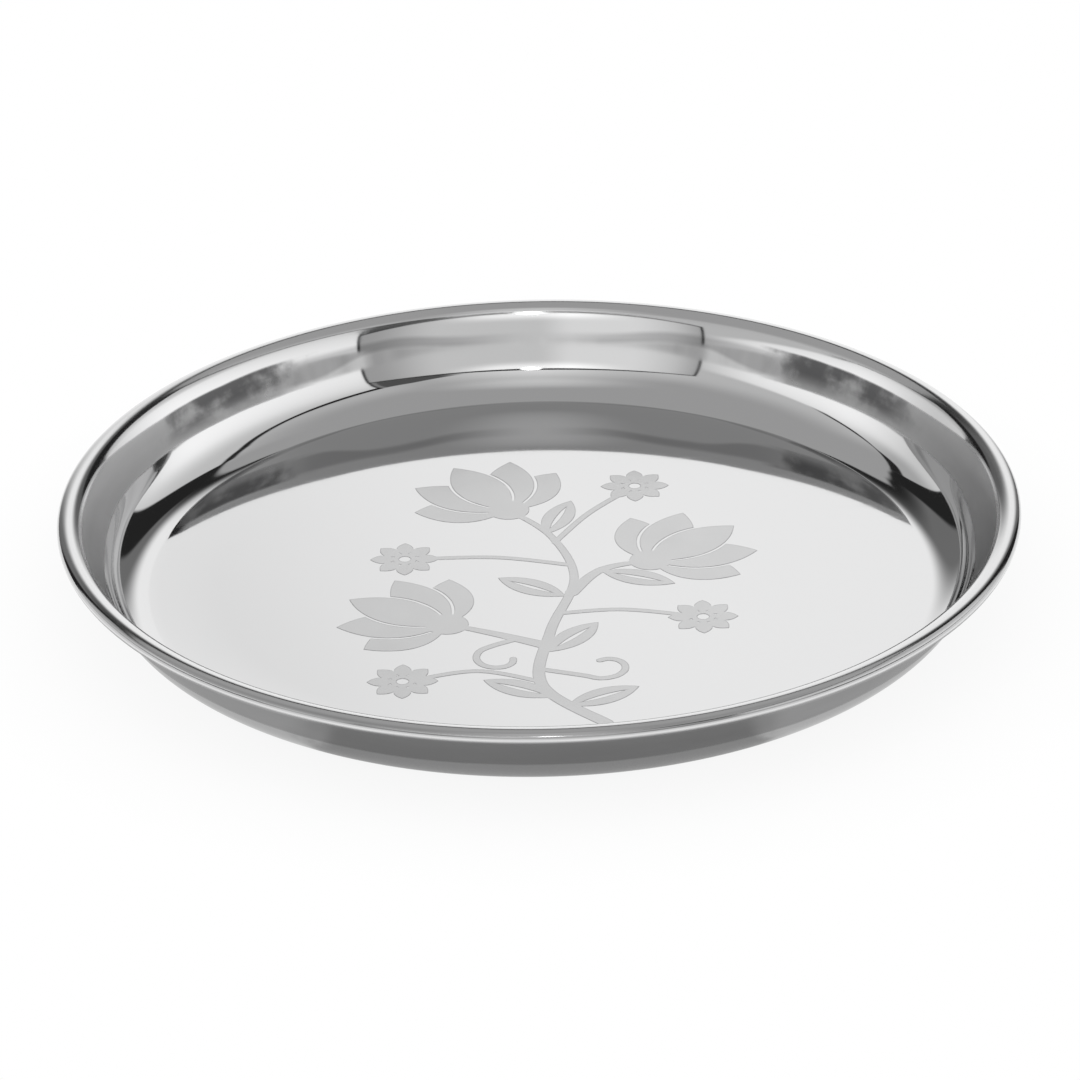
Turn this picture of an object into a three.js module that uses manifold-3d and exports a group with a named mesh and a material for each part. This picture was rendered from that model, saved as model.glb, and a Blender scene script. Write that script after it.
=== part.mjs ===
// A round steel buffet plate: one deep-drawn sheet with its rim rolled over a wire, and a matt etched
// flower figure on the flat floor. Millimetres, +Z up, the plate standing on z = 0, centred on the Z axis.

import * as THREE from 'three';
import { mergeVertices } from 'three/addons/utils/BufferGeometryUtils.js';
import Module from 'manifold-3d';

// Driving sizes of the pressing
const plateDiameter = 280; // over the rolled rim
const wellDepth = 25.5; // rim top down to the floor
const wallSpread = 26; // floor edge out to the outermost line of the rim
const dishWidth = 21; // outer ring of the floor, which rises gently to its edge
const dishRadius = 800; // bend of that ring
const sheet = 0.8; // steel gauge
const coveRadius = 14.2; // inside curve from floor to wall
const wallLean = 60; // degrees of slope at both ends of the wall, which is steeper between them
const wallEase = 0.26; // share of the wall over which each end steepens

// Driving sizes of the rolled rim
const shoulderRadius = 3; // bend from the wall out into the rim
const flareRadius = 5; // broad top of the rim
const flareSlope = 35; // degrees at which the shoulder runs into the broad top
const rollSlope = -15; // degrees at which the broad top runs into the tight roll
const wireDiameter = 2.5;
const wireClearance = 0.1; // wire to the inside of the roll
const curlGap = 0.6; // end of the roll to the underside of the broad top

// Driving sizes of the etched figure
const figureMargin = 2.8; // edge of the level floor in to the figure's reach
const etchFilm = 0.06; // height that stands for the matt surface
const brightLine = 0.9; // width of the polished lines left between petals
const stemWidth = 4.2; // at the foot of the figure
const stalkWidth = 2; // at a flower
const lotusWidth = 15;
const middlePetal = 33; // lengths of a lotus's petals, from the middle one outwards
const sidePetal = 32;
const lowPetal = 28;
const sideLean = 31; // degrees that they lean out from the middle one
const lowLean = 61;
const petalFoot = 0.3; // share of a petal's length at which its edge is fullest, from the foot
const petalTip = 0.7; // the same nearer the tip
const calyxRadius = 6.2;
const rosetteRadius = 10.2;
const rosettePetalWidth = 5;
const rosetteEye = 1.7; // radius of the polished dot in a rosette
const rosetteRing = 3.5; // radius of the ring that its petals grow from
const leafLength = 23;
const leafWidth = 9;
const veinLength = 14;
const veinWidth = 1.4;
const tendrilRadius = 9; // outer turn of a curl
const tendrilWidth = 2.2;
const curlTurn = 1.6 * Math.PI; // angle that a curl winds through
const curlTightening = 0.6; // share of its radius that it loses on the way

// Counts
const turnSteps = 64; // facets round the plate
const dishSteps = 2;
const coveSteps = 6;
const wallSteps = 5;
const shoulderSteps = 2;
const flareSteps = 5;
const rollSteps = 11;
const wireSides = 8;
const rosettePetals = 8;
const petalSteps = 8; // facets along one edge of a lotus petal or leaf
const smallSteps = 4; // facets along one edge of a rosette petal or a vein
const eyeSteps = 6; // facets of half a rosette's eye and ring
const stemStep = 5; // length of stem between two points of its outline
const curlStep = 2.5; // the same along a curl
const curlPoints = 8; // points that a curl is laid through
const mergeReach = 1e-4; // points nearer than this are one corner

// Places that follow from the sizes
const plateRadius = plateDiameter / 2;
const plateHeight = wellDepth + sheet;
const floorRadius = plateRadius - wallSpread;
const levelRadius = floorRadius - dishWidth;
const dishSlope = Math.asin(dishWidth / dishRadius); // at the edge of the floor
const dishCentre = new THREE.Vector2(levelRadius, sheet + dishRadius);
const coveCentre = dishCentre.clone().addScaledVector(faceNormal(dishSlope), coveRadius - dishRadius);
const wallSlope = THREE.MathUtils.degToRad(wallLean);
const flareStart = THREE.MathUtils.degToRad(flareSlope);
const rollStart = THREE.MathUtils.degToRad(rollSlope);
const rollRadius = wireDiameter / 2 + wireClearance + sheet;
const rollInset = flareRadius - rollRadius; // centre of the broad top to the centre of the roll
const rollDrop = flareRadius - rollInset * Math.cos(rollStart); // rim top down to the centre of the roll
const rollCentre = new THREE.Vector2(plateRadius - rollRadius, plateHeight - rollDrop);
const flareCentre = rollCentre.clone().addScaledVector(faceNormal(rollStart), -rollInset);
const shoulderInset = flareRadius - shoulderRadius; // centre of the broad top to the centre of the shoulder
const shoulderCentre = flareCentre.clone().addScaledVector(faceNormal(flareStart), shoulderInset);
const figureRadius = levelRadius - figureMargin;
const lotusPairs = [
  { lean: 0, length: middlePetal },
  { lean: sideLean, length: sidePetal },
  { lean: lowLean, length: lowPetal },
];
const edgePull = 2 / 3; // share of a petal's width at which its edge's handles stand

const polished = new THREE.MeshStandardMaterial({ color: 0xd9dadb, roughness: 0.06, metalness: 1 });
const drawnWire = new THREE.MeshStandardMaterial({ color: 0x9a9b9c, roughness: 0.4, metalness: 1 });
const etched = new THREE.MeshStandardMaterial({ color: 0xb4b5b6, roughness: 0.6, metalness: 1 });

// Way that the sheet's bright face looks where the sheet has a slope. The slope is the angle of the way
// outwards: 0 on the level floor, over 60 degrees on the wall, and falling through the rim as it turns
// back.
function faceNormal(slope) {
  return new THREE.Vector2(-Math.sin(slope), Math.cos(slope));
}

function frontOf(point) {
  return point.at;
}

function backOf(point) {
  return point.at.clone().addScaledVector(faceNormal(point.slope), -sheet);
}

// Points of the bright face round a bend from one slope to another. The centres of the dish and the
// cove lie on the bright side, so their radii count as negative.
function bend(centre, radius, fromSlope, toSlope, steps) {
  const points = [];
  for (let i = 0; i <= steps; i += 1) {
    const slope = THREE.MathUtils.lerp(fromSlope, toSlope, i / steps);
    points.push({ at: centre.clone().addScaledVector(faceNormal(slope), radius), slope });
  }
  return points;
}

// The wall between cove and shoulder, without its ends: both ends lean out, the middle is steepest
function wallPoints(foot, head) {
  const lean = new THREE.Vector2(Math.cos(wallSlope), Math.sin(wallSlope));
  const ease = wallEase * foot.distanceTo(head);
  const low = foot.clone().addScaledVector(lean, ease);
  const high = head.clone().addScaledVector(lean, -ease);
  const curve = new THREE.CubicBezierCurve(foot, low, high, head);
  const points = [];
  for (let i = 1; i < wallSteps; i += 1) {
    const share = i / wallSteps;
    points.push({ at: curve.getPoint(share), slope: curve.getTangent(share).angle() });
  }
  return points;
}

// Slope at the end of the roll, which stops short of the underside of the broad top
function rollEnd() {
  const reach = flareRadius - sheet - curlGap;
  const turn = (reach ** 2 - rollInset ** 2 - rollRadius ** 2) / (2 * rollInset * rollRadius);
  return rollStart + Math.acos(turn) - 2 * Math.PI;
}

// The bright face from the middle of the floor to the end of the roll
function sheetPath() {
  const middle = { at: new THREE.Vector2(0, sheet), slope: 0 };
  const dish = bend(dishCentre, -dishRadius, 0, dishSlope, dishSteps);
  const cove = bend(coveCentre, -coveRadius, dishSlope, wallSlope, coveSteps);
  const shoulder = bend(shoulderCentre, shoulderRadius, wallSlope, flareStart, shoulderSteps);
  const flare = bend(flareCentre, flareRadius, flareStart, rollStart, flareSteps);
  const roll = bend(rollCentre, rollRadius, rollStart, rollEnd(), rollSteps);
  const wall = wallPoints(cove.at(-1).at, shoulder[0].at);
  const foot = [middle, ...dish, ...cove.slice(1), ...wall];
  return [...foot, ...shoulder, ...flare.slice(1), ...roll.slice(1)];
}

function revolve(outline) {
  return new THREE.LatheGeometry(outline, turnSteps).rotateX(Math.PI / 2);
}

function pressingGeometry() {
  const path = sheetPath();
  const back = path.map(backOf);
  const front = path.map(frontOf).reverse();
  return revolve([...back, ...front]);
}

function wireGeometry() {
  const outline = [];
  for (let i = 0; i <= wireSides; i += 1) {
    const angle = 2 * Math.PI * (i % wireSides) / wireSides;
    const spoke = new THREE.Vector2(Math.cos(angle), Math.sin(angle)).multiplyScalar(wireDiameter / 2);
    outline.push(spoke.add(rollCentre));
  }
  return revolve(outline);
}

// Flat pieces of the figure, joined and cut as thin solids
const wasm = await Module();
wasm.setup();

function toSolid(geometry) {
  geometry.deleteAttribute('normal');
  geometry.deleteAttribute('uv');
  const merged = mergeVertices(geometry, mergeReach);
  const vertProperties = new Float32Array(merged.attributes.position.array);
  const triVerts = new Uint32Array(merged.index.array);
  return new wasm.Manifold(new wasm.Mesh({ numProp: 3, vertProperties, triVerts }));
}

function toGeometry(solid) {
  const mesh = solid.getMesh();
  const geometry = new THREE.BufferGeometry();
  geometry.setAttribute('position', new THREE.BufferAttribute(new Float32Array(mesh.vertProperties), 3));
  geometry.setIndex(new THREE.BufferAttribute(new Uint32Array(mesh.triVerts), 1));
  geometry.computeVertexNormals();
  return geometry;
}

// A flat shape as a film on the floor. A cutter is thicker both ways, so that it cuts clean through.
function film(shape, place, { isCutter = false, steps = petalSteps } = {}) {
  const extra = isCutter ? etchFilm : 0;
  const geometry = new THREE.ExtrudeGeometry(shape, {
    depth: etchFilm + 2 * extra,
    bevelEnabled: false,
    curveSegments: steps,
  });
  geometry.rotateZ(place.turn);
  geometry.translate(place.x, place.y, sheet - extra);
  return toSolid(geometry);
}

function join(solids) {
  return solids.reduce((sum, solid) => sum.add(solid));
}

// A spot of the figure, given as shares of its reach, with a heading in degrees from straight back
function spot(across, back, heading = 0) {
  return { x: across * figureRadius, y: back * figureRadius, turn: THREE.MathUtils.degToRad(heading) };
}

function turned(place, degrees) {
  return { ...place, turn: place.turn + THREE.MathUtils.degToRad(degrees) };
}

// A pointed petal or leaf that lies along +Y; grow widens it all round, start sets its foot
function petalShape(length, width, grow = 0, start = 0) {
  const side = (width + 2 * grow) * edgePull;
  const foot = start - grow;
  const tip = start + length + grow;
  const low = foot + (tip - foot) * petalFoot;
  const high = foot + (tip - foot) * petalTip;
  const shape = new THREE.Shape();
  shape.moveTo(0, foot);
  shape.bezierCurveTo(side, low, side, high, 0, tip);
  shape.bezierCurveTo(-side, high, -side, low, 0, foot);
  return shape;
}

function discShape(radius) {
  const shape = new THREE.Shape();
  shape.absarc(0, 0, radius, 0, 2 * Math.PI);
  return shape;
}

// A stem through its points, narrowing from one end to the other, with round ends
function ribbonShape(points, startWidth, endWidth, step) {
  const curve = new THREE.SplineCurve(points);
  const steps = Math.ceil(curve.getLength() / step);
  const left = [];
  const right = [];
  for (let i = 0; i <= steps; i += 1) {
    const at = curve.getPointAt(i / steps);
    const along = curve.getTangentAt(i / steps);
    const half = THREE.MathUtils.lerp(startWidth, endWidth, i / steps) / 2;
    const side = new THREE.Vector2(-along.y, along.x).multiplyScalar(half);
    if (i === 0) left.push(at.clone().addScaledVector(along, -half));
    left.push(at.clone().add(side));
    right.push(at.clone().sub(side));
    if (i === steps) left.push(at.clone().addScaledVector(along, half));
  }
  return new THREE.Shape([...left, ...right.reverse()]);
}

const flat = { x: 0, y: 0, turn: 0 };

function stem(places, startWidth, endWidth) {
  const points = places.map((place) => new THREE.Vector2(place.x, place.y));
  return film(ribbonShape(points, startWidth, endWidth, stemStep), flat);
}

// A stalk that ends in an open curl about a centre, winding in as it goes round to one side
function tendril({ root, centre, side }) {
  const away = new THREE.Vector2(root.x - centre.x, root.y - centre.y);
  const points = [new THREE.Vector2(root.x, root.y)];
  for (let i = 1; i <= curlPoints; i += 1) {
    const angle = away.angle() + side * curlTurn * i / curlPoints;
    const radius = tendrilRadius * (1 - curlTightening * i / curlPoints);
    const spoke = new THREE.Vector2(Math.cos(angle), Math.sin(angle)).multiplyScalar(radius);
    points.push(spoke.add(centre));
  }
  return film(ribbonShape(points, tendrilWidth, tendrilWidth, curlStep), flat);
}

// A leaf with a bright vein, rooted in the stem
function leaf(place) {
  const vein = petalShape(veinLength, veinWidth, 0, (leafLength - veinLength) / 2);
  const cutter = film(vein, place, { isCutter: true, steps: smallSteps });
  return film(petalShape(leafLength, leafWidth), place).subtract(cutter);
}

// A flower seen from the side: the middle petal stands before two pairs, each pair behind the last,
// with a bright line left round the petal in front. All of them grow from the calyx.
function lotus(place) {
  const petals = [];
  const cutters = [];
  for (const pair of lotusPairs) {
    const leans = pair.lean === 0 ? [0] : [pair.lean, -pair.lean];
    const places = leans.map((lean) => turned(place, lean));
    for (const at of places) {
      const whole = film(petalShape(pair.length, lotusWidth), at);
      petals.push(cutters.reduce((rest, cutter) => rest.subtract(cutter), whole));
    }
    for (const at of places) {
      cutters.push(film(petalShape(pair.length, lotusWidth, brightLine), at, { isCutter: true }));
    }
  }
  return join([...petals, film(discShape(calyxRadius), place)]);
}

// A small open flower seen from above, round a bright eye
function rosette(place) {
  const ring = discShape(rosetteRing);
  ring.holes.push(discShape(rosetteEye));
  const foot = (rosetteEye + rosetteRing) / 2;
  const petal = petalShape(rosetteRadius - foot, rosettePetalWidth, 0, foot);
  const petals = [];
  for (let i = 0; i < rosettePetals; i += 1) {
    petals.push(film(petal, turned(place, 360 * i / rosettePetals), { steps: smallSteps }));
  }
  return join([film(ring, place, { steps: eyeSteps }), ...petals]);
}

// The stalk of a rosette stops in its ring, so that the eye stays bright
function rosetteStalk({ root, bend, place }) {
  const inwards = new THREE.Vector2(place.x - bend.x, place.y - bend.y);
  const stop = inwards.clone().setLength(inwards.length() - rosetteRing);
  const end = { x: bend.x + stop.x, y: bend.y + stop.y };
  return stem([root, bend, end], stalkWidth, stalkWidth);
}

// The figure: one winding stem, with flowers, leaves and curls that all grow from it
function figureGeometry() {
  const crown = spot(-0.1, 0.5, 30);
  const east = spot(0.36, 0.12, -50);
  const west = spot(-0.3, -0.3, 60);
  const mainStem = [
    spot(0.2, -0.98), spot(0.0, -0.72), spot(0.03, -0.36), spot(0.11, 0), spot(0.04, 0.3), crown,
  ];
  const branches = [
    [spot(0.1, -0.1), spot(0.2, 0.06), east],
    [spot(0.02, -0.46), spot(-0.13, -0.38), west],
  ];
  const sprays = [
    { root: spot(0.05, 0.26), bend: spot(0.16, 0.46), place: spot(0.32, 0.66) },
    { root: spot(0.09, 0.1), bend: spot(-0.14, 0.16), place: spot(-0.44, 0.16) },
    { root: spot(0.05, -0.24), bend: spot(0.26, -0.22), place: spot(0.52, -0.28) },
    { root: spot(0.0, -0.7), bend: spot(-0.2, -0.62), place: spot(-0.44, -0.68) },
  ];
  const curls = [
    { root: spot(0.01, -0.62), centre: spot(0.2, -0.6), side: 1 },
    { root: spot(-0.08, -0.41), centre: spot(-0.13, -0.54), side: 1 },
  ];
  const leaves = [
    spot(0.2, 0.05, -112),
    spot(0.08, -0.12, 58),
    spot(0.02, -0.5, -40),
    spot(0.02, 0.32, -20),
    spot(0.08, -0.86, -62),
    spot(0.04, -0.8, 62),
  ];
  const pieces = [
    stem(mainStem, stemWidth, stalkWidth),
    ...branches.map((branch) => stem(branch, stemWidth, stalkWidth)),
    ...sprays.map(rosetteStalk),
    ...sprays.map((spray) => rosette(spray.place)),
    ...curls.map(tendril),
    ...leaves.map(leaf),
    ...[crown, east, west].map(lotus),
  ];
  return toGeometry(join(pieces));
}

function addPiece(group, name, geometry, material) {
  const mesh = new THREE.Mesh(geometry, material);
  mesh.name = name;
  group.add(mesh);
}

const plate = new THREE.Group();
addPiece(plate, 'plate_pressing', pressingGeometry(), polished);
addPiece(plate, 'rim_wire', wireGeometry(), drawnWire);
addPiece(plate, 'etched_figure', figureGeometry(), etched);

export default plate;
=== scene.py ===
import math

import bmesh
import bpy
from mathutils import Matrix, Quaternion, Vector
from mathutils.geometry import delaunay_2d_cdt


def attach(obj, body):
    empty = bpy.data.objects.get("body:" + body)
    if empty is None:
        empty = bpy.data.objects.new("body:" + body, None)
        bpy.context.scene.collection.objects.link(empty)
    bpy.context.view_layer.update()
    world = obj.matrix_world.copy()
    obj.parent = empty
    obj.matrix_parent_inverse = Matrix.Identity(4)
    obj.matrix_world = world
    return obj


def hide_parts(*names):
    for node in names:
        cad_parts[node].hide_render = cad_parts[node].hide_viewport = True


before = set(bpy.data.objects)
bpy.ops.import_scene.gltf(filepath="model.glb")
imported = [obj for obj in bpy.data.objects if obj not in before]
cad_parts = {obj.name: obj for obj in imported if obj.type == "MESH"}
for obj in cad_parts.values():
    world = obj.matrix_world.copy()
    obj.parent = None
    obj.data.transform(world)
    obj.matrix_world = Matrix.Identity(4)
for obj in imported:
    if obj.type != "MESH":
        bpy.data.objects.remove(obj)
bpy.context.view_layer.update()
scene = bpy.context.scene
scene.view_settings.view_transform = "Standard"
print("frame loaded:", sorted(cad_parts))


# node trees: a socket that takes part in sums, and one method for any other node

class Socket:
    def __init__(self, board, plug):
        self.board = board
        self.plug = plug

    def sum(self, operation, first, second):
        return self.board.node("Math", {"operation": operation}, {0: first, 1: second})

    def __add__(self, other):
        return self.sum("ADD", self, other)

    def __radd__(self, other):
        return self.sum("ADD", other, self)

    def __sub__(self, other):
        return self.sum("SUBTRACT", self, other)

    def __rsub__(self, other):
        return self.sum("SUBTRACT", other, self)

    def __mul__(self, other):
        return self.sum("MULTIPLY", self, other)

    def __rmul__(self, other):
        return self.sum("MULTIPLY", other, self)

    def __pow__(self, other):
        return self.sum("POWER", self, other)

    def __rpow__(self, other):
        return self.sum("POWER", other, self)

    def output(self, name):  # another output of the same node
        return Socket(self.board, self.plug.node.outputs[name])


class Board:
    def __init__(self, owner):
        owner.use_nodes = True
        self.tree = owner.node_tree
        self.tree.nodes.clear()

    def node(self, kind, settings, inputs, output=0):
        made = self.tree.nodes.new("ShaderNode" + kind)
        for name, value in settings.items():
            setattr(made, name, value)
        for name, value in inputs.items():
            if isinstance(value, Socket):
                self.tree.links.new(value.plug, made.inputs[name])
            else:
                made.inputs[name].default_value = value
        return Socket(self, made.outputs[output]) if made.outputs else None

    def rise(self, value, at, soft):  # 0 below the edge, 1 above it
        return self.node("MapRange", {"interpolation_type": "SMOOTHSTEP"},
                         {"Value": value, "From Min": at - soft, "From Max": at + soft})

    def fall(self, value, at, soft):
        return 1 - self.rise(value, at, soft)

    def between(self, value, low, high, soft):
        return self.rise(value, low, soft) * self.fall(value, high, soft)

    def larger(self, first, second):
        return self.node("Math", {"operation": "MAXIMUM"}, {0: first, 1: second})

    def size(self, value):
        return self.node("Math", {"operation": "ABSOLUTE"}, {0: value})

    def angle(self, across, along):  # degrees
        return self.node("Math", {"operation": "ARCTAN2"}, {0: across, 1: along}) * (180 / math.pi)

    def mix(self, mask, base, colour):
        return self.node("Mix", {"data_type": "RGBA"}, {"Factor": mask, "A": base, "B": colour}, "Result")


def over(base, colour, mask):  # lays a colour on a base where the mask is 1
    return base + (colour - base) * mask


# camera

shot = {
    "target": Vector((0.00016, 0, 0.01373)),
    "distance": 2.0,
    "elevation": 27.17,
    "roll": -1.09,  # degrees
    "lens": 228.77,  # mm
    "sensor": 36,
}


def addCamera():
    camera = bpy.data.objects.new("plate_camera", bpy.data.cameras.new("plate_camera"))
    scene.collection.objects.link(camera)
    tilt = math.radians(shot["elevation"])
    back = Vector((0, -math.cos(tilt), math.sin(tilt)))
    camera.data.lens = shot["lens"]
    camera.data.sensor_width = shot["sensor"]
    camera.location = shot["target"] + back * shot["distance"]
    camera.rotation_mode = "QUATERNION"
    roll = Quaternion((0, 0, 1), math.radians(shot["roll"]))
    camera.rotation_quaternion = (-back).to_track_quat("-Z", "Y") @ roll
    scene.camera = camera


addCamera()
print("camera set")


# the pressing, turned from the same profile as the CAD solid

pressing = {
    "diameter": 0.280,
    "wellDepth": 0.0255,
    "wallSpread": 0.026,
    "dishWidth": 0.021,  # outer ring of the floor, which rises gently
    "dishRadius": 0.8,
    "sheet": 0.0008,
    "coveRadius": 0.0142,
    "wallLean": 60,  # degrees of slope at both ends of the wall
    "wallEase": 0.26,
    "shoulderRadius": 0.003,
    "flareRadius": 0.005,
    "flareSlope": 35,  # degrees
    "rollSlope": -15,
    "wireDiameter": 0.0025,
    "wireClearance": 0.0001,
    "curlGap": 0.0006,
    "floorRings": [0.01, 0.03, 0.06, 0.085],  # radii
    "dishSteps": 8,
    "coveSteps": 30,
    "wallSteps": 30,
    "shoulderSteps": 10,
    "flareSteps": 16,
    "rollSteps": 44,
    "turnSteps": 256,
    "wireSides": 20,
    "sharpEdge": 40,  # degrees; flatter edges are shaded smooth
}
rimRadius = pressing["diameter"] / 2
floorRadius = rimRadius - pressing["wallSpread"]
sheet = pressing["sheet"]
levelRadius = floorRadius - pressing["dishWidth"]
wallSlope = math.radians(pressing["wallLean"])
flareStart = math.radians(pressing["flareSlope"])
rollStart = math.radians(pressing["rollSlope"])


def faceNormal(slope):  # way that the bright face looks, in (outwards, up)
    return Vector((-math.sin(slope), math.cos(slope)))


flareRadius = pressing["flareRadius"]
rollRadius = pressing["wireDiameter"] / 2 + pressing["wireClearance"] + sheet
rollInset = flareRadius - rollRadius
rollDrop = flareRadius - rollInset * math.cos(rollStart)
rollCentre = Vector((rimRadius - rollRadius, pressing["wellDepth"] + sheet - rollDrop))
flareCentre = rollCentre - faceNormal(rollStart) * rollInset
shoulderCentre = flareCentre + faceNormal(flareStart) * (flareRadius - pressing["shoulderRadius"])
dishSlope = math.asin(pressing["dishWidth"] / pressing["dishRadius"])
dishCentre = Vector((levelRadius, sheet + pressing["dishRadius"]))
coveCentre = dishCentre + faceNormal(dishSlope) * (pressing["coveRadius"] - pressing["dishRadius"])


def bend(centre, radius, fromSlope, toSlope, steps):  # points of the bright face, each with its slope
    slopes = [fromSlope + (toSlope - fromSlope) * i / steps for i in range(steps + 1)]
    return [(centre + faceNormal(slope) * radius, slope) for slope in slopes]


def wallPoints(foot, head):  # leans out at both ends, steepest in the middle
    lean = Vector((math.cos(wallSlope), math.sin(wallSlope))) * (head - foot).length * pressing["wallEase"]
    corners = [foot, foot + lean, head - lean, head]
    points = []
    for i in range(1, pressing["wallSteps"]):
        t = i / pressing["wallSteps"]
        u = 1 - t
        at = (corners[0] * u ** 3 + corners[1] * 3 * u * u * t
              + corners[2] * 3 * u * t * t + corners[3] * t ** 3)
        along = ((corners[1] - corners[0]) * u * u + (corners[2] - corners[1]) * 2 * u * t
                 + (corners[3] - corners[2]) * t * t)
        points.append((at, math.atan2(along.y, along.x)))
    return points


def sheetPath():  # bright face from the middle of the floor to the end of the roll
    reach = flareRadius - sheet - pressing["curlGap"]
    stop = math.acos((reach ** 2 - rollInset ** 2 - rollRadius ** 2) / (2 * rollInset * rollRadius))
    floor = [(Vector((radius, sheet)), 0) for radius in pressing["floorRings"]]
    dish = bend(dishCentre, -pressing["dishRadius"], 0, dishSlope, pressing["dishSteps"])
    cove = bend(coveCentre, -pressing["coveRadius"], dishSlope, wallSlope, pressing["coveSteps"])
    shoulder = bend(shoulderCentre, pressing["shoulderRadius"], wallSlope, flareStart,
                    pressing["shoulderSteps"])
    flare = bend(flareCentre, flareRadius, flareStart, rollStart, pressing["flareSteps"])
    roll = bend(rollCentre, rollRadius, rollStart, rollStart + stop - 2 * math.pi, pressing["rollSteps"])
    wall = wallPoints(cove[-1][0], shoulder[0][0])
    return floor + dish + cove[1:] + wall + shoulder + flare[1:] + roll[1:]


def turnProfile(name, profile, middles, closed):  # profile of (radius, height), turned about Z
    mesh = bmesh.new()
    rings = []
    for radius, height in profile:
        ring = []
        for i in range(pressing["turnSteps"]):
            angle = 2 * math.pi * i / pressing["turnSteps"]
            ring.append(mesh.verts.new((radius * math.cos(angle), radius * math.sin(angle), height)))
        rings.append(ring)
    pairs = list(zip(rings, rings[1:] + rings[:1] if closed else rings[1:]))
    for low, high in pairs:
        for i in range(pressing["turnSteps"]):
            mesh.faces.new((low[i - 1], low[i], high[i], high[i - 1]))
    for ring, height in middles:
        hub = mesh.verts.new((0, 0, height))
        for i in range(pressing["turnSteps"]):
            mesh.faces.new((rings[ring][i - 1], rings[ring][i], hub))
    bmesh.ops.recalc_face_normals(mesh, faces=mesh.faces)
    return addPiece(name, mesh)


def addPiece(name, mesh):
    data = bpy.data.meshes.new(name)
    mesh.to_mesh(data)
    mesh.free()
    data.polygons.foreach_set("use_smooth", [True] * len(data.polygons))
    data.set_sharp_from_angle(angle=math.radians(pressing["sharpEdge"]))
    piece = bpy.data.objects.new(name, data)
    scene.collection.objects.link(piece)
    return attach(piece, "root")


def addPressing():
    path = sheetPath()
    front = [(at.x, at.y) for at, slope in path]
    back = [(at.x + sheet * math.sin(slope), at.y - sheet * math.cos(slope)) for at, slope in path]
    middles = [(0, sheet), (len(front) + len(back) - 1, 0)]
    piece = turnProfile("plate_body", front + back[::-1], middles, closed=False)
    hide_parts("plate_pressing")
    return piece


def addWire():
    radius = pressing["wireDiameter"] / 2
    profile = []
    for i in range(pressing["wireSides"]):
        angle = 2 * math.pi * i / pressing["wireSides"]
        profile.append((rollCentre.x + radius * math.cos(angle), rollCentre.y + radius * math.sin(angle)))
    piece = turnProfile("rim_stiffener", profile, [], closed=True)
    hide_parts("rim_wire")
    return piece


plateBody = addPressing()
rimStiffener = addWire()
print("pressing and rim wire turned:", len(plateBody.data.polygons), "faces")


# the etched spray, in millimetres until it is laid on the floor

spray = {
    "margin": 2.8,  # edge of the level floor in to the figure's reach
    "film": 0.06,
    "brightLine": 0.9,
    "edgeLine": 0.35,  # painted edge shade: darker line along every outline
    "stemWidth": 4.2,
    "stalkWidth": 2,
    "lotusWidth": 15,
    "lotusPairs": [(0, 33), (31, 32), (61, 28)],  # lean in degrees, length
    "petalFoot": 0.3,  # shares of a petal's length where the handles of its edge stand
    "petalTip": 0.7,
    "calyx": 6.2,
    "rosette": 10.2,
    "rosettePetals": 8,
    "rosettePetalWidth": 5,
    "rosetteEye": 1.7,
    "rosetteRing": 3.5,
    "leafLength": 23,
    "leafWidth": 9,
    "veinLength": 14,
    "veinWidth": 1.4,
    "tendril": 9,
    "tendrilWidth": 2.2,
    "curlTurn": 1.6 * math.pi,
    "curlTightening": 0.6,
    "curlPoints": 8,
    "petalSteps": 26,
    "discSteps": 40,
    "stemStep": 1.2,
    "curveSteps": 400,  # fine steps that a stem's length is measured on
    "roundEnd": 0.7,  # share of the half width at which a stem's end is rounded
    "mergeReach": 1e-4,  # points nearer than this are one
    "unfoldRounds": 10,
    "unfoldShare": 0.5,  # of the way to the outline, in each round
    "uprightBelow": 0.5,  # a face whose normal rises less than this is a side of the film
}
figureRadius = levelRadius * 1000 - spray["margin"]


class Outlines:  # closed outlines, and for each the outlines that cut it
    def __init__(self):
        self.points = []
        self.faces = []
        self.cuts = {}

    def add(self, outline):
        start = len(self.points)
        self.points += outline
        self.faces.append(list(range(start, len(self.points))))
        return len(self.faces) - 1

    def fill(self, outline, cutters=()):
        self.cuts[self.add(outline)] = set(cutters)

    def triangles(self):
        filled = delaunay_2d_cdt(self.points, [], self.faces, 1, spray["mergeReach"])
        points, faces, origins = filled[0], filled[2], filled[5]  # origins: outlines that hold each face
        kept = []
        for face, inside in zip(faces, origins):
            inside = set(inside)
            if any(shape in self.cuts and not self.cuts[shape] & inside for shape in inside):
                kept.append(face)
        return points, kept


def spot(across, back, heading=0):  # shares of the figure's reach, heading in degrees from straight back
    return Vector((across, back)) * figureRadius, math.radians(heading)


def placed(outline, place, lean=0):
    at, heading = place
    turn = heading + math.radians(lean)
    c, s = math.cos(turn), math.sin(turn)
    return [Vector((at.x + p.x * c - p.y * s, at.y + p.x * s + p.y * c)) for p in outline]


def petalOutline(length, width, grow=0, start=0):
    side = (width + 2 * grow) * 2 / 3  # a cubic curve bulges by three quarters of this
    foot, tip = start - grow, start + length + grow
    low = foot + (tip - foot) * spray["petalFoot"]
    high = foot + (tip - foot) * spray["petalTip"]
    right = []
    for i in range(spray["petalSteps"]):
        t = i / spray["petalSteps"]
        u = 1 - t
        along = u ** 3 * foot + 3 * u * u * t * low + 3 * u * t * t * high + t ** 3 * tip
        right.append(Vector((3 * u * t * side, along)))
    left = [Vector((-p.x, foot + tip - p.y)) for p in right]
    return right + left


def discOutline(radius):
    steps = spray["discSteps"]
    angles = [2 * math.pi * i / steps for i in range(steps)]
    return [Vector((radius * math.cos(angle), radius * math.sin(angle))) for angle in angles]


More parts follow.
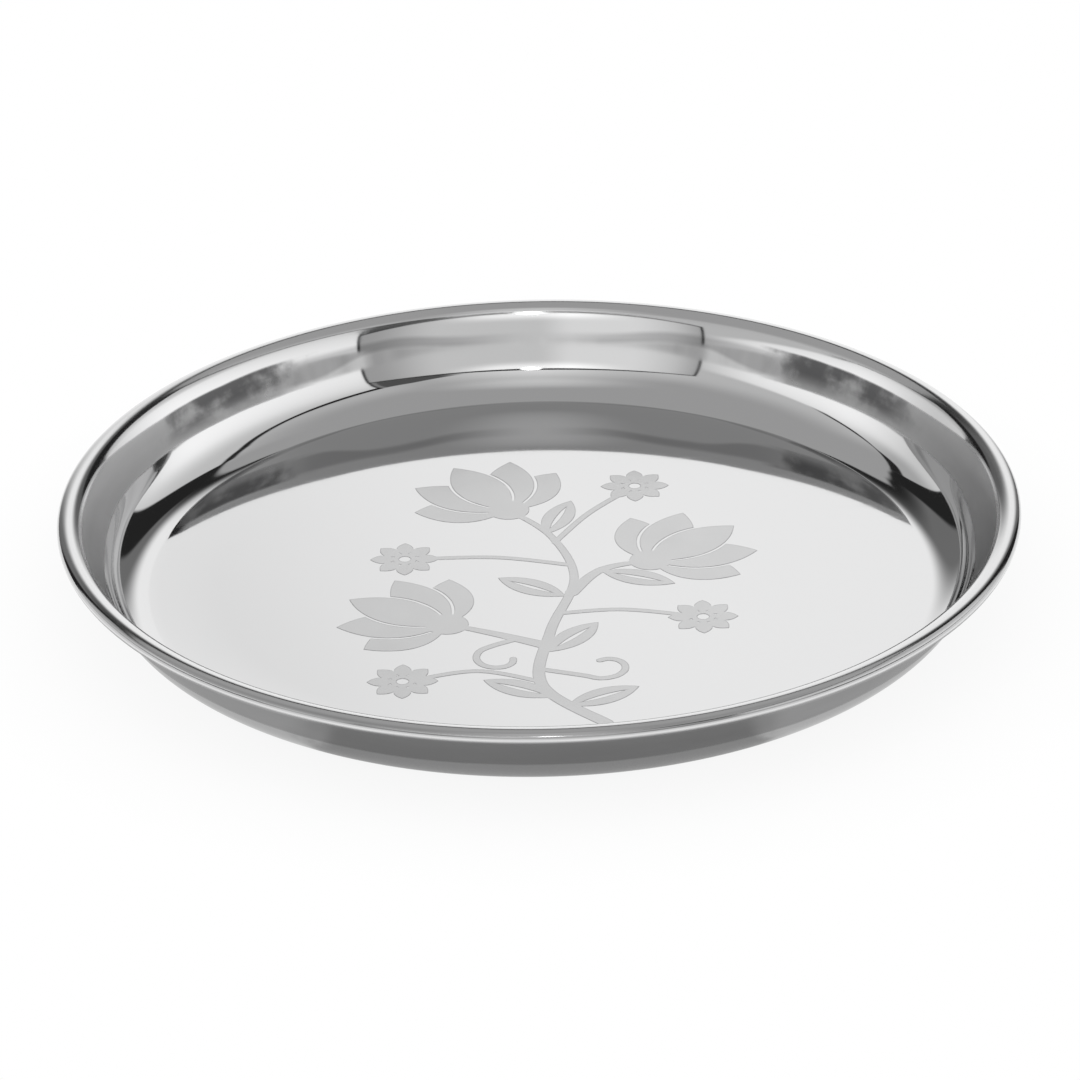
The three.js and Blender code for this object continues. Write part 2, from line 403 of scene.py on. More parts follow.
def splinePoint(points, t):  # smooth curve through the points, t from 0 to their count less 1
    i = min(int(t), len(points) - 2)
    w = t - i
    p = [points[max(i - 1, 0)], points[i], points[i + 1], points[min(i + 2, len(points) - 1)]]
    v0, v1 = (p[2] - p[0]) / 2, (p[3] - p[1]) / 2
    return (p[1] * (2 * w ** 3 - 3 * w * w + 1) + v0 * (w ** 3 - 2 * w * w + w)
            + p[2] * (3 * w * w - 2 * w ** 3) + v1 * (w ** 3 - w * w))


def ribbonOutline(points, startWidth, endWidth):  # even steps along the curve, round ends
    fineSteps = spray["curveSteps"]
    fine = [splinePoint(points, i * (len(points) - 1) / fineSteps) for i in range(fineSteps + 1)]
    runs = [0]
    for a, b in zip(fine, fine[1:]):
        runs.append(runs[-1] + (b - a).length)
    steps = math.ceil(runs[-1] / spray["stemStep"])
    left, right = [], []
    j = 0
    for i in range(steps + 1):
        run = runs[-1] * i / steps
        while j < fineSteps - 1 and runs[j + 1] < run:
            j += 1
        share = (run - runs[j]) / (runs[j + 1] - runs[j])
        at = fine[j].lerp(fine[j + 1], share)
        along = (fine[j + 1] - fine[j]).normalized()
        half = (startWidth + (endWidth - startWidth) * i / steps) / 2
        side = Vector((-along.y, along.x))
        ahead, aside = along * half * spray["roundEnd"], side * half * spray["roundEnd"]
        if i == 0:
            left += [at - along * half, at - ahead + aside]
            right += [at - ahead - aside]
        left.append(at + side * half)
        right.append(at - side * half)
        if i == steps:
            left += [at + ahead + aside, at + along * half]
            right += [at + ahead - aside]
    return right + left[::-1]  # counter-clockwise, as the filling needs


def addStem(outlines, places, startWidth, endWidth):
    outlines.fill(ribbonOutline([at for at, heading in places], startWidth, endWidth))


def addTendril(outlines, root, centre):
    away = root[0] - centre[0]
    points = [root[0]]
    for i in range(1, spray["curlPoints"] + 1):
        share = i / spray["curlPoints"]
        angle = math.atan2(away.y, away.x) + spray["curlTurn"] * share
        radius = spray["tendril"] * (1 - spray["curlTightening"] * share)
        points.append(centre[0] + Vector((math.cos(angle), math.sin(angle))) * radius)
    outlines.fill(ribbonOutline(points, spray["tendrilWidth"], spray["tendrilWidth"]))


def addLeaf(outlines, place):
    start = (spray["leafLength"] - spray["veinLength"]) / 2
    vein = outlines.add(placed(petalOutline(spray["veinLength"], spray["veinWidth"], 0, start), place))
    outlines.fill(placed(petalOutline(spray["leafLength"], spray["leafWidth"]), place), [vein])


def addLotus(outlines, place):  # each pair of petals stands behind the last
    cutters = []
    for lean, length in spray["lotusPairs"]:
        leans = sorted({lean, -lean})
        for side in leans:
            outlines.fill(placed(petalOutline(length, spray["lotusWidth"]), place, side), cutters)
        for side in leans:
            grown = petalOutline(length, spray["lotusWidth"], spray["brightLine"])
            cutters = cutters + [outlines.add(placed(grown, place, side))]
    outlines.fill(placed(discOutline(spray["calyx"]), place))


def addRosette(outlines, root, bend, place):
    eye = outlines.add(placed(discOutline(spray["rosetteEye"]), place))
    outlines.fill(placed(discOutline(spray["rosetteRing"]), place), [eye])
    foot = (spray["rosetteEye"] + spray["rosetteRing"]) / 2
    petal = petalOutline(spray["rosette"] - foot, spray["rosettePetalWidth"], 0, foot)
    for i in range(spray["rosettePetals"]):
        outlines.fill(placed(petal, place, 360 * i / spray["rosettePetals"]))
    inwards = place[0] - bend[0]
    end = bend[0] + inwards * (1 - spray["rosetteRing"] / inwards.length)
    addStem(outlines, [root, bend, (end, 0)], spray["stalkWidth"], spray["stalkWidth"])


def sprayOutlines():
    outlines = Outlines()
    crown, east, west = spot(-0.1, 0.5, 30), spot(0.36, 0.12, -50), spot(-0.3, -0.3, 60)
    stems = [
        [spot(0.2, -0.98), spot(0, -0.72), spot(0.03, -0.36), spot(0.11, 0), spot(0.04, 0.3), crown],
        [spot(0.1, -0.1), spot(0.2, 0.06), east],
        [spot(0.02, -0.46), spot(-0.13, -0.38), west],
    ]
    for places in stems:
        addStem(outlines, places, spray["stemWidth"], spray["stalkWidth"])
    for root, bend, place in [
        (spot(0.05, 0.26), spot(0.16, 0.46), spot(0.32, 0.66)),
        (spot(0.09, 0.1), spot(-0.14, 0.16), spot(-0.44, 0.16)),
        (spot(0.05, -0.24), spot(0.26, -0.22), spot(0.52, -0.28)),
        (spot(0, -0.7), spot(-0.2, -0.62), spot(-0.44, -0.68)),
    ]:
        addRosette(outlines, root, bend, place)
    addTendril(outlines, spot(0.01, -0.62), spot(0.2, -0.6))
    addTendril(outlines, spot(-0.08, -0.41), spot(-0.13, -0.54))
    for place in [spot(0.2, 0.05, -112), spot(0.08, -0.12, 58), spot(0.02, -0.5, -40),
                  spot(0.02, 0.32, -20), spot(0.08, -0.86, -62), spot(0.04, -0.8, 62)]:
        addLeaf(outlines, place)
    for place in [crown, east, west]:
        addLotus(outlines, place)
    return outlines


def unfold(mesh):  # draws the line's inner points back to the outline where faces turned over
    for attempt in range(spray["unfoldRounds"]):
        mesh.normal_update()
        folded = {v for face in mesh.faces if face.normal.z <= 0 for v in face.verts if not v.is_boundary}
        for vert in folded:
            near = [edge.other_vert(vert) for edge in vert.link_edges]
            outline = [v for v in near if v.is_boundary]
            if outline:
                nearest = min(outline, key=lambda v: (v.co - vert.co).length)
                vert.co = vert.co.lerp(nearest.co, spray["unfoldShare"])


def putInOrder(elements, place):  # the extrusion's own order changes from run to run
    ordered = sorted(elements, key=lambda element: tuple(place(element)))
    ranks = {element: rank for rank, element in enumerate(ordered)}
    elements.sort(key=lambda element: ranks[element])


def addSpray():
    points, faces = sprayOutlines().triangles()
    mesh = bmesh.new()
    top = sheet + spray["film"] / 1000
    verts = [mesh.verts.new((p.x / 1000, p.y / 1000, top)) for p in points]
    for face in faces:
        mesh.faces.new([verts[i] for i in face])
    bmesh.ops.delete(mesh, geom=[v for v in mesh.verts if not v.link_faces], context="VERTS")
    bmesh.ops.recalc_face_normals(mesh, faces=mesh.faces)
    for face in mesh.faces:
        if face.normal.z < 0:
            face.normal_flip()
    bmesh.ops.inset_region(mesh, faces=list(mesh.faces), use_boundary=True, use_even_offset=True,
                           thickness=spray["edgeLine"] / 1000)
    unfold(mesh)
    under = list(mesh.faces)  # these stay behind as the underside
    made = bmesh.ops.extrude_face_region(mesh, geom=under)
    for vert in [v for v in made["geom"] if isinstance(v, bmesh.types.BMVert)]:
        vert.co.z = top
    for face in under:
        face.normal_flip()
    for vert in {v for face in under for v in face.verts}:
        vert.co.z = sheet
    bmesh.ops.recalc_face_normals(mesh, faces=mesh.faces)
    putInOrder(mesh.verts, lambda vert: vert.co)
    putInOrder(mesh.faces, lambda face: face.calc_center_median())
    edge = mesh.verts.layers.float.new("edge")  # 1 on every outline, for the painted edge shade
    for vert in mesh.verts:
        sides = [face for face in vert.link_faces if abs(face.normal.z) < spray["uprightBelow"]]
        vert[edge] = 1 if sides else 0
    piece = addPiece("etched_spray", mesh)
    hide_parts("etched_figure")
    return piece


etchedSpray = addSpray()
print("etched spray laid:", len(etchedSpray.data.polygons), "faces")


# finishes; "around" is degrees from the back of the plate to its front, the same on both sides

def newFinish(name, piece):
    material = bpy.data.materials.new(name)
    piece.data.materials.clear()
    piece.data.materials.append(material)
    board = Board(material)
    place = board.node("TexCoord", {}, {}, "Object")
    return board, place


def endFinish(board, inputs):
    shader = board.node("BsdfPrincipled", {}, {"Metallic": 1, **inputs})
    board.node("OutputMaterial", {}, {"Surface": shader})


def noise(board, place, scale, detail=2):
    return board.node("TexNoise", {}, {"Vector": place, "Scale": scale, "Detail": detail}, "Fac")


wiping = {  # faint marks of a cloth
    "roughness": 0.03,
    "heading": 0.6,  # radians
    "scale": (14, 220, 60),
    "detail": 3,
    "threshold": 0.62,
    "soft": 0.12,
    "share": 0.6,  # the rest is cloudy
    "cloudScale": 26,
}


def wipeMarks(board, place):
    rotation = (0, 0, wiping["heading"])
    stretched = board.node("Mapping", {}, {"Vector": place, "Rotation": rotation, "Scale": wiping["scale"]})
    wipes = board.rise(noise(board, stretched, 1, wiping["detail"]), wiping["threshold"], wiping["soft"])
    clouds = noise(board, place, wiping["cloudScale"])
    return (wipes * wiping["share"] + clouds * (1 - wiping["share"])) * wiping["roughness"]


dullBand = {  # duller band of the wall, apart from the back
    "low": 0.0127,
    "high": 0.0216,
    "soft": 0.0004,
    "start": 35.5,  # around
    "startSoft": 5,
    "startWobble": 12,
    "colour": (0.44, 0.44, 0.442, 1),
    "cover": 0.75,
    "streakCover": 0.4,
    "roughness": 0.3,
    "streakScale": (40, 40, 260),
    "streakWobble": 0.0008,
    "blotchScale": 95,
    "detail": 4,
}
bandSides = {  # from here on the band spreads up and down the wall, and over the flare
    "start": 68,  # around
    "soft": 10,
    "lift": 0.0021,
    "dropStart": 84,
    "dropSoft": 12,
    "drop": 0.003,
    "flareLow": 0.0242,
    "flareHigh": 0.0258,
    "flareSoft": 0.0003,
}


def dullParts(board, around, level, z, blotches):
    atSides = board.rise(around, bandSides["start"], bandSides["soft"])
    drop = board.rise(around, bandSides["dropStart"], bandSides["dropSoft"]) * bandSides["drop"]
    lift = atSides * bandSides["lift"]
    ring = board.rise(level - (dullBand["low"] - drop), 0, dullBand["soft"])
    ring = ring * board.fall(level - lift, dullBand["high"], dullBand["soft"])
    wobbly = around + (blotches - 0.5) * dullBand["startWobble"]
    ring = ring * board.rise(wobbly, dullBand["start"], dullBand["startSoft"])
    flare = board.between(z, bandSides["flareLow"], bandSides["flareHigh"], bandSides["flareSoft"])
    return board.larger(ring, atSides * flare)


darkPatches = {  # near-black blotches from the start of the band to this end; their colour also paints the reflection streak
    "colour": (0.136, 0.136, 0.138, 1),
    "end": 58,  # around
    "endSoft": 4,
    "endWobble": 20,
    "streaks": 0.4,
    "threshold": 0.43,
    "soft": 0.18,
    "low": 0.0145,
    "lowSoft": 0.003,
}


# near-black blotches in the band, ragged by noise
def darkPatchParts(board, around, level, blotches, streaks):
    wobbly = around + (blotches - 0.5) * darkPatches["endWobble"]
    ragged = blotches + (streaks - 0.5) * darkPatches["streaks"]
    patches = board.rise(ragged, darkPatches["threshold"], darkPatches["soft"])
    upper = board.rise(level, darkPatches["low"], darkPatches["lowSoft"])
    return board.fall(wobbly, darkPatches["end"], darkPatches["endSoft"]) * patches * upper


reflectionStreak = {  # painted dark reflection, drawn as a streak that the band thins out to, towards the back
    "strength": 0.42,
    "low": 0.0159,
    "high": 0.0185,
    "soft": 0.0008,
    "start": 7,  # around
    "startSoft": 9,
    "endSoft": 5,
    "driftStart": 14,
    "driftSoft": 6,
    "drift": 0.002,
    "wideStart": 27,
    "wideSoft": 5,
    "wide": 0.004,
}


# paints a dark reflection into the wall's colour, as a streak
def paintedReflectionStreak(board, around, level):
    drift = level - board.rise(around, reflectionStreak["driftStart"], reflectionStreak["driftSoft"]) * reflectionStreak["drift"]
    wide = board.rise(around, reflectionStreak["wideStart"], reflectionStreak["wideSoft"]) * reflectionStreak["wide"]
    streak = board.rise(drift + wide, reflectionStreak["low"], reflectionStreak["soft"])
    streak = streak * board.fall(drift, reflectionStreak["high"], reflectionStreak["soft"])
    streak = streak * board.rise(around, reflectionStreak["start"], reflectionStreak["startSoft"])
    return streak * board.fall(around, dullBand["start"], reflectionStreak["endSoft"]) * reflectionStreak["strength"]


polish = {
    "colour": (0.62, 0.62, 0.622, 1),
    "roughness": 0.035,
    "waveScale": 34,  # slight waves of a pressed sheet
    "waveHeight": 0.000012,
    "rimStart": 0.0238,  # height from which the rim is less bright
    "rimSoft": 0.0006,
    "rimRoughness": 0.11,
}


def finishPolish():
    board, place = newFinish("mirror_steel", plateBody)
    swell = noise(board, place, polish["waveScale"], 1)
    wave = board.node("Bump", {}, {"Height": swell, "Distance": polish["waveHeight"]})
    x = board.node("SeparateXYZ", {}, {"Vector": place}, "X")
    y, z = x.output("Y"), x.output("Z")
    around = board.angle(board.size(x), y)
    squeezed = board.node("Mapping", {}, {"Vector": place, "Scale": dullBand["streakScale"]})
    streaks = noise(board, squeezed, 1, dullBand["detail"])
    blotches = noise(board, place, dullBand["blotchScale"], dullBand["detail"])
    level = z + (streaks - 0.5) * dullBand["streakWobble"]  # height with a ragged edge
    dull = dullParts(board, around, level, z, blotches)
    patchesAndReflection = dull * darkPatchParts(board, around, level, blotches, streaks)
    # the painted reflection streak takes the same near-black colour as the blotches
    patchesAndReflection = board.larger(patchesAndReflection, paintedReflectionStreak(board, around, level))
    covered = dull * (dullBand["cover"] + streaks * dullBand["streakCover"])
    colour = board.mix(covered, polish["colour"], dullBand["colour"])
    roughness = over(polish["roughness"], dullBand["roughness"], dull)
    rim = board.rise(z, polish["rimStart"], polish["rimSoft"])
    endFinish(board, {
        "Base Color": board.mix(patchesAndReflection, colour, darkPatches["colour"]),
        "Roughness": wipeMarks(board, place) + over(roughness, polish["rimRoughness"], rim),
        "Normal": wave,
    })


etch = {
    "colour": (0.59, 0.59, 0.592, 1),
    "edgeShadeColour": (0.4, 0.4, 0.402, 1),
    "roughness": 0.24,
    "grain": 0.05,
    "grainScale": 2600,
    "grainHeight": 0.000004,
    "patchScale": 60,
}


def finishEtch():
    board, place = newFinish("etched_matt", etchedSpray)
    grain = noise(board, place, etch["grainScale"], 3)
    patches = noise(board, place, etch["patchScale"])
    bump = board.node("Bump", {}, {"Height": grain, "Distance": etch["grainHeight"]})
    edge = board.node("Attribute", {"attribute_name": "edge"}, {}, "Fac")
    endFinish(board, {
        # painted shade along every outline of the etch
        "Base Color": board.mix(edge, etch["colour"], etch["edgeShadeColour"]),
        "Roughness": (grain + patches - 1) * etch["grain"] + etch["roughness"],
        "Normal": bump,
    })


drawn = {
    "colour": (0.55, 0.55, 0.555, 1),
    "roughness": 0.3,
    "lines": 0.16,
    "lineScale": 900,
    "lineHeight": 0.000006,
}


def finishWire():
    board, place = newFinish("drawn_wire", rimStiffener)
    lines = noise(board, place, drawn["lineScale"], 3)
    bump = board.node("Bump", {}, {"Height": lines, "Distance": drawn["lineHeight"]})
    endFinish(board, {
        "Base Color": drawn["colour"],
        "Roughness": lines * drawn["lines"] + drawn["roughness"],
        "Normal": bump,
    })


finishPolish()
finishEtch()
finishWire()
print("finishes set")


# the studio that the steel reflects, drawn on the world by direction: turn in degrees from straight
# behind the plate, clockwise from above, and height in degrees above the horizon

class View:  # direction of a ray
    def __init__(self, board):
        self.aim = board.node("TexCoord", {}, {}, "Generated")
        x = board.node("SeparateXYZ", {}, {"Vector": self.aim}, "X")
        self.y = x.output("Y")
        self.z = x.output("Z")
        self.turn = board.angle(x, self.y)
        self.side = board.size(self.turn)  # turn to either side
        self.height = board.node("Math", {"operation": "ARCSINE"}, {0: self.z}) * (180 / math.pi)


ceiling = {  # lighter towards the front, high above it and over each light box
    "light": 0.39,
    "near": {"turn": 158, "turnSoft": 26, "top": 54, "topSoft": 24, "light": 0.48},
    "high": {"turn": 150, "turnSoft": 26, "low": 59, "top": 79, "soft": 8, "light": 0.2},
    "boxes": [
        {"left": 50, "right": 140, "top": 53, "topSoft": 11, "light": 0.14},
        {"left": -150, "right": -72, "top": 37, "topSoft": 15, "light": 0.18},
    ],
    "boxSoft": 10,
}


def ceilingLight(board, view):
    near, high = ceiling["near"], ceiling["high"]
    towards = board.rise(view.side, near["turn"], near["turnSoft"])
    light = towards * board.fall(view.height, near["top"], near["topSoft"]) * near["light"]
    for box in ceiling["boxes"]:
        width = board.between(view.turn, box["left"], box["right"], ceiling["boxSoft"])
        light = light + width * board.fall(view.height, box["top"], box["topSoft"]) * box["light"]
    patch = board.rise(view.side, high["turn"], high["turnSoft"])
    patch = patch * board.between(view.height, high["low"], high["top"], high["soft"])
    return light + patch * high["light"] + ceiling["light"]


room = {  # unlit, behind the plate and between the boxes
    "light": 0.02,
    "left": -52,
    "right": 50,
    "sideSoft": 1,
    "top": 42.3,
    "topSlope": 0.11,
    "topSoft": 0.8,
    "bulge": 2,  # its top is higher between these turns
    "bulgeLeft": -48,
    "bulgeRight": -27,
    "bulgeSoft": 5,
}


def drawRoom(board, view, light):
    bulge = board.between(view.turn, room["bulgeLeft"], room["bulgeRight"], room["bulgeSoft"])
    top = view.turn * room["topSlope"] + room["top"] + bulge * room["bulge"]
    width = board.between(view.turn, room["left"], room["right"], room["sideSoft"])
    return over(light, room["light"], width * board.fall(view.height, top, room["topSoft"]))


backdrop = {  # behind the plate
    "dim": 0.17,
    "lit": 0.83,  # added in the middle
    "litLeft": -24.2,
    "litLeftLean": 0.6,  # degrees of turn for each degree of height
    "litLeftSoft": 9,
    "litRight": 17,
    "litRightSoft": 7,
    "left": -36.5,
    "leftSoft": 1.5,
    "right": 33.3,
    "rightLean": 0.15,
    "rightSoft": 1.4,
    "top": 34,
    "topSoft": 5,
    "step": 4,  # its top is higher at the right
    "stepTurn": 4,
    "stepSoft": 10,
}


def drawBackdrop(board, view, light):
    litLeft = view.height * backdrop["litLeftLean"] + backdrop["litLeft"]
    lit = board.rise(view.turn, litLeft, backdrop["litLeftSoft"])
    lit = lit * board.fall(view.turn, backdrop["litRight"], backdrop["litRightSoft"])
    right = backdrop["right"] - view.height * backdrop["rightLean"]
    width = board.rise(view.turn, backdrop["left"], backdrop["leftSoft"])
    width = width * board.fall(view.turn, right, backdrop["rightSoft"])
    step = board.rise(view.turn, backdrop["stepTurn"], backdrop["stepSoft"])
    top = backdrop["top"] + step * backdrop["step"]
    shape = width * board.fall(view.height, top, backdrop["topSoft"])
    return over(light, lit * backdrop["lit"] + backdrop["dim"], shape)


rightBox = {
    "left": 49.5,
    "leftSoft": 1,
    "right": 133.6,
    "rightSoft": 0.3,
    "top": 46.2,
    "topSoft": 0.6,
    "slopeStart": 66,  # its top falls from here on
    "slope": 0.18,
    "light": 0.63,
    "lowLight": 0.54,  # added towards its foot
    "lowTop": 24,
    "lowSoft": 18,
    "lowStart": 60,
    "lowStartSoft": 22,
}
rightFrame = {  # dark, and wider towards the front
    "left": 49,
    "leftSoft": 1,
    "right": 157,
    "rightSoft": 5,
    "width": 2.7,
    "soft": 0.7,
    "wide": 1.1,
    "wideLeft": 108,
    "wideRight": 150,
    "wideSoft": 14,
    "widest": 2.5,
    "widestStart": 140,
    "widestSoft": 5,
    "strip": 0.22,  # pale upright strip in it
    "stripLeft": 134.5,
    "stripRight": 135.7,
    "stripSoft": 0.3,
    "past": 0.07,  # past that strip
}


def drawRightBox(board, view, light):
    turn = view.turn
    top = rightBox["top"] - board.larger(turn - rightBox["slopeStart"], 0) * rightBox["slope"]
    wide = board.between(turn, rightFrame["wideLeft"], rightFrame["wideRight"], rightFrame["wideSoft"])
    widest = board.rise(turn, rightFrame["widestStart"], rightFrame["widestSoft"])
    frameTop = top + rightFrame["width"] + wide * rightFrame["wide"] + widest * rightFrame["widest"]
    width = board.rise(turn, rightFrame["left"], rightFrame["leftSoft"])
    width = width * board.fall(turn, rightFrame["right"], rightFrame["rightSoft"])
    strip = board.between(turn, rightFrame["stripLeft"], rightFrame["stripRight"], rightFrame["stripSoft"])
    past = board.rise(turn, rightFrame["stripRight"], rightFrame["stripSoft"])
    frameLight = strip * rightFrame["strip"] + past * rightFrame["past"] + room["light"]
    light = over(light, frameLight, width * board.fall(view.height, frameTop, rightFrame["soft"]))
    low = board.fall(view.height, rightBox["lowTop"], rightBox["lowSoft"])
    low = low * board.rise(turn, rightBox["lowStart"], rightBox["lowStartSoft"])
    width = board.rise(turn, rightBox["left"], rightBox["leftSoft"])
    width = width * board.fall(turn, rightBox["right"], rightBox["rightSoft"])
    shape = width * board.fall(view.height, top, rightBox["topSoft"])
    return over(light, low * rightBox["lowLight"] + rightBox["light"], shape)


leftBox = {  # lower, under a slanting dark line
    "left": -136.2,
    "right": -51.5,
    "sideSoft": 0.5,
    "light": 0.46,
    "middle": 0.42,  # added in its middle
    "middleLeft": -132,
    "middleRight": -78,
    "middleSoft": 16,
    "lowLight": 0.24,
    "lowTop": 17,
    "lowSoft": 8,
    "lowestTop": 20,
    "topSoft": 1,
}
leftLine = {
    "height": 23.3,  # straight to the left
    "slope": 0.36,
    "above": 1.2,
    "below": 1,
    "soft": 0.4,
    "start": -101,
    "startSoft": 10,
    "dip": 1.6,  # its upper edge sinks here
    "dipTurn": -76,
    "dipSoft": 10,
    "neck": 4,  # and it thickens downwards here
    "neckTurn": -65,
    "neckSoft": 8,
}


def drawLeftBox(board, view, light):
    turn = view.turn
    line = (turn + 90) * leftLine["slope"] + leftLine["height"]
    dip = board.rise(turn, leftLine["dipTurn"], leftLine["dipSoft"])
    neck = board.rise(turn, leftLine["neckTurn"], leftLine["neckSoft"])
    lineTop = line + leftLine["above"] - dip * leftLine["dip"]
    lineLow = line - leftLine["below"] - neck * leftLine["neck"]
    dark = board.between(view.height, lineLow, lineTop, leftLine["soft"])
    dark = dark * board.rise(turn, leftLine["start"], leftLine["startSoft"])
    width = board.between(turn, leftBox["left"], leftBox["right"], leftBox["sideSoft"])
    light = over(light, room["light"], width * dark)
    middle = board.between(turn, leftBox["middleLeft"], leftBox["middleRight"], leftBox["middleSoft"])
    low = board.fall(view.height, leftBox["lowTop"], leftBox["lowSoft"])
    boxLight = leftBox["light"] + middle * leftBox["middle"] + low * leftBox["lowLight"]
    top = board.larger(lineLow, leftBox["lowestTop"])
    return over(light, boxLight, width * board.fall(view.height, top, leftBox["topSoft"]))


panel = {  # in front, with dark edges
    "start": 134.8,
    "inside": 135.6,
    "sideSoft": 0.25,
    "skew": 0.0097,  # it stands a little to the left
    "top": 0.64,  # tangent of its height, straight ahead
    "topSoft": 0.008,
    "edge": 0.02,
    "wideEdge": 0.06,
    "wideStart": 160,
    "wideSoft": 22,
    "light": 0.4,
    "middle": 0.26,
    "middleStart": 146,
    "middleSoft": 10,
    "half": 0.18,  # one half is lighter
    "halfLeft": -175,
    "halfLeftSoft": 5,
    "halfRight": -139,
    "halfRightSoft": 6,
    "hot": 0.45,  # by the lamp
    "hotStart": 162,
    "hotStartSoft": 10,
    "hotLow": 27,
    "hotLowSoft": 3,
}


def drawPanel(board, view, light):
    across = view.side + view.turn * panel["skew"]
    wideEdge = board.rise(view.side, panel["wideStart"], panel["wideSoft"]) * panel["wideEdge"]
    edgeTop = wideEdge + (panel["top"] + panel["edge"])
    shape = board.rise(across, panel["start"], panel["sideSoft"])
    shape = shape * board.fall(view.z + view.y * edgeTop, 0, panel["topSoft"])
    light = over(light, room["light"], shape)
    middle = board.rise(view.side, panel["middleStart"], panel["middleSoft"])
    half = board.rise(view.turn, panel["halfLeft"], panel["halfLeftSoft"])
    half = half * board.fall(view.turn, panel["halfRight"], panel["halfRightSoft"])
    hot = board.rise(view.side, panel["hotStart"], panel["hotStartSoft"])
    hot = hot * board.rise(view.height, panel["hotLow"], panel["hotLowSoft"])
    panelLight = panel["light"] + middle * panel["middle"] + half * panel["half"] + hot * panel["hot"]
    shape = board.rise(across, panel["inside"], panel["sideSoft"])
    shape = shape * board.fall(view.z + view.y * panel["top"], 0, panel["topSoft"])
    return over(light, panelLight, shape)


lowStrip = {  # below the boxes
    "light": 0.22,
    "steps": [(116, 6, 0.4), (136, 2, -0.22), (163, 8, 0.25)],  # turn, soft, brightness added
    "mottle": 0.5,
    "mottleScale": 14,
    "start": 50,
    "startSoft": 1,
    "top": 0.137,  # sine of its height at the sides
    "tilt": 0.216,  # its top is higher towards the front
    "topSoft": 0.006,
    "bulge": 0.027,
    "bulgeLeft": 86,
    "bulgeRight": 140,
    "bulgeSoft": 20,
}


def drawLowStrip(board, view, light):
    bulge = board.between(view.side, lowStrip["bulgeLeft"], lowStrip["bulgeRight"], lowStrip["bulgeSoft"])
    top = bulge * lowStrip["bulge"] + lowStrip["top"]
    low = lowStrip["light"]
    for turn, soft, added in lowStrip["steps"]:
        low = low + board.rise(view.side, turn, soft) * added
    mottled = (noise(board, view.aim, lowStrip["mottleScale"], 3) - 0.5) * lowStrip["mottle"] + 1
    shape = board.fall(view.z + view.y * lowStrip["tilt"], top, lowStrip["topSoft"])
    shape = shape * board.rise(view.side, lowStrip["start"], lowStrip["startSoft"])
    return over(light, low * mottled, shape)


lamp = {  # small, in front
    "turn": 178.5,
    "height": 33,
    "reach": 2.6,  # degrees
    "light": 10,
}


def drawLamp(board, view, light):
    turn, height = math.radians(lamp["turn"]), math.radians(lamp["height"])
    level = math.cos(height)
    aim = (math.sin(turn) * level, math.cos(turn) * level, math.sin(height))
    near = board.node("VectorMath", {"operation": "DOT_PRODUCT"}, {0: view.aim, 1: aim}, "Value")
    edge = math.cos(math.radians(lamp["reach"]))
    return light + board.rise(near, (1 + edge) / 2, (1 - edge) / 2) * lamp["light"]


studio = {
    "level": 1.25,  # every light above is given for a level of 1
}


def drawStudio():
    world = bpy.data.worlds.new("studio")
    scene.world = world
    board = Board(world)
    view = View(board)
    light = ceilingLight(board, view)
    for draw in (drawRoom, drawBackdrop, drawRightBox, drawLeftBox, drawPanel, drawLowStrip, drawLamp):
        light = draw(board, view, light)
    isCamera = board.node("LightPath", {}, {}, "Is Camera Ray")
    shown = over(light * studio["level"], 1, isCamera)
    shader = board.node("Background", {}, {"Color": shown, "Strength": 1})
    board.node("OutputWorld", {}, {"Surface": shader})


drawStudio()
print("studio drawn")


# table top: white to the camera and in the steel, with the plate's shadow kept

shade = {  # painted shade: brightness of the shaded strip round the base, darker in front than at the sides, which the wall's outside reflects
    "front": 0.27,
    "sides": 0.48,
    "sidesStart": 32,  # degrees round from the front
    "sidesSoft": 3,
    "wobble": 14,
    "wobbleScale": 70,
    "base": 0.4,  # inside the strip, under the plate
    "baseSoft": 0.004,
}


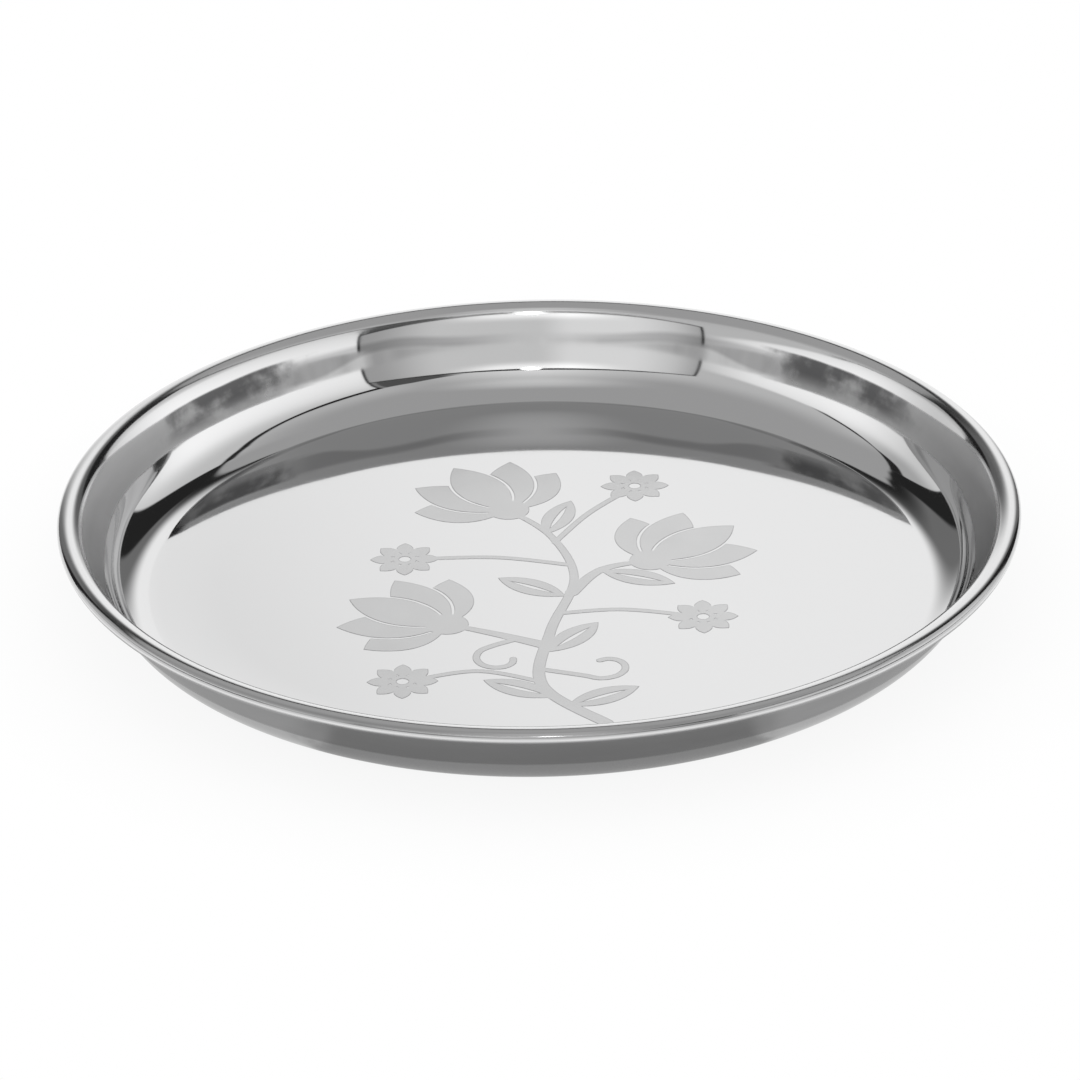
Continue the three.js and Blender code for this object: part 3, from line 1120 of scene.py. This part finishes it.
def paintedShadeUnder(board, place):
    x = board.node("SeparateXYZ", {}, {"Vector": place}, "X")
    y = x.output("Y")
    wobble = (noise(board, place, shade["wobbleScale"], 3) - 0.5) * shade["wobble"]
    around = board.angle(board.size(x), y * -1) + wobble
    atSides = board.rise(around, shade["sidesStart"], shade["sidesSoft"])
    strip = over(shade["front"], shade["sides"], atSides)
    fromMiddle = (x * x + y * y) ** 0.5
    return over(shade["base"], strip, board.rise(fromMiddle, floorRadius, shade["baseSoft"]))


table = {
    "reach": 12,
    "drop": 0.0003,  # below the plate's base, so that the two faces don't meet
    "colour": (0.85, 0.85, 0.85, 1),
    "shadowReach": 0.05,
    "shadowSamples": 8,
    "cameraShadow": 0.09,
    "openFrom": 0.72,  # share of open sky from which the table is white
    "openSoft": 0.16,
    "closed": 0.12,  # share below which painted light, in place of the steel's own light, fills the shade
    "closedSoft": 0.1,
    "closedLight": 0.25,
}


def finishTable(top):
    board, place = newFinish("white_table", top)
    isCamera = board.node("LightPath", {}, {}, "Is Camera Ray")
    isGlossy, isThrough = isCamera.output("Is Glossy Ray"), isCamera.output("Is Transmission Ray")
    openSky = board.node("AmbientOcclusion", {"samples": table["shadowSamples"]},
                         {"Distance": table["shadowReach"]}, "AO")
    # painted shade and painted light on the table, as the steel sees it
    mirrored = over(paintedShadeUnder(board, place), 1, board.rise(openSky, table["openFrom"], table["openSoft"]))
    filled = board.fall(openSky, table["closed"], table["closedSoft"]) * table["closedLight"]
    mirrored = (mirrored + filled) * studio["level"]
    glow = over(mirrored, 1 - (1 - openSky) * table["cameraShadow"], isCamera)
    lit = board.node("BsdfDiffuse", {}, {"Color": table["colour"]})
    white = board.node("Emission", {}, {"Color": glow, "Strength": 1})
    seen = board.larger(board.larger(isCamera, isGlossy), isThrough)
    above = board.node("MixShader", {}, {0: seen, 1: lit, 2: white})
    fromBelow = board.node("NewGeometry", {}, {}, "Backfacing")
    clear = board.node("BsdfTransparent", {}, {})
    both = board.node("MixShader", {}, {0: fromBelow, 1: above, 2: clear})
    board.node("OutputMaterial", {}, {"Surface": both})


def addTable():
    mesh = bmesh.new()
    reach = table["reach"]
    corners = [(-reach, -reach), (reach, -reach), (reach, reach), (-reach, reach)]
    mesh.faces.new([mesh.verts.new((x, y, -table["drop"])) for x, y in corners])
    data = bpy.data.meshes.new("table_top")
    mesh.to_mesh(data)
    mesh.free()
    top = bpy.data.objects.new("table_top", data)
    scene.collection.objects.link(top)
    finishTable(top)


addTable()
print("table set")
